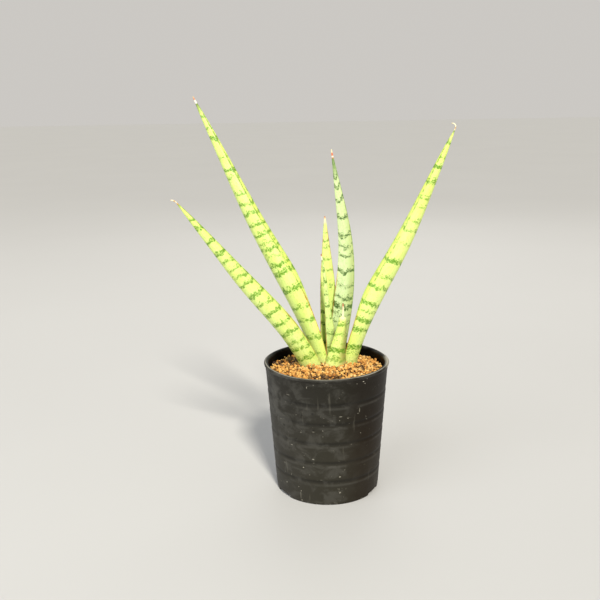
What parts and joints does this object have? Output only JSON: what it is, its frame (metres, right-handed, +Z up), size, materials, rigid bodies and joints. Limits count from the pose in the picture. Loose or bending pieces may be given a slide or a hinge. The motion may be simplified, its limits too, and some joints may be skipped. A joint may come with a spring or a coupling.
{
  "type": "potted snake plant",
  "caption": "Small snake plant with seven upright, crossbanded, channelled leaves in a round black nursery pot topped with clay granules.",
  "frame": {"origin": "on the table under the middle of the plant's box; the pot's axis is a few millimetres off it", "axes": "+Z up, +X to the right of the plant as seen from the front, +Y away from the viewer"},
  "size_m": [0.1902, 0.09, 0.282],
  "materials": {
    "black_plastic": "satin",
    "pumice": "matte",
    "dark_mix": "matte",
    "clay_granules": "matte",
    "pale_root": "matte",
    "lime_leaf": "satin",
    "grey_leaf": "satin"
  },
  "bodies": {
    "root": {"pot": "black_plastic", "drainage_layer": "pumice", "potting_mix": "dark_mix", "top_dressing": "clay_granules", "rhizome": "pale_root", "leaf_left_low": "lime_leaf", "leaf_left_tall": "lime_leaf", "leaf_back_small": "lime_leaf", "leaf_inner_small": "lime_leaf", "leaf_centre_tall": "grey_leaf", "leaf_right_tall": "lime_leaf", "leaf_front_short": "lime_leaf"}
  },
  "joints": []
}
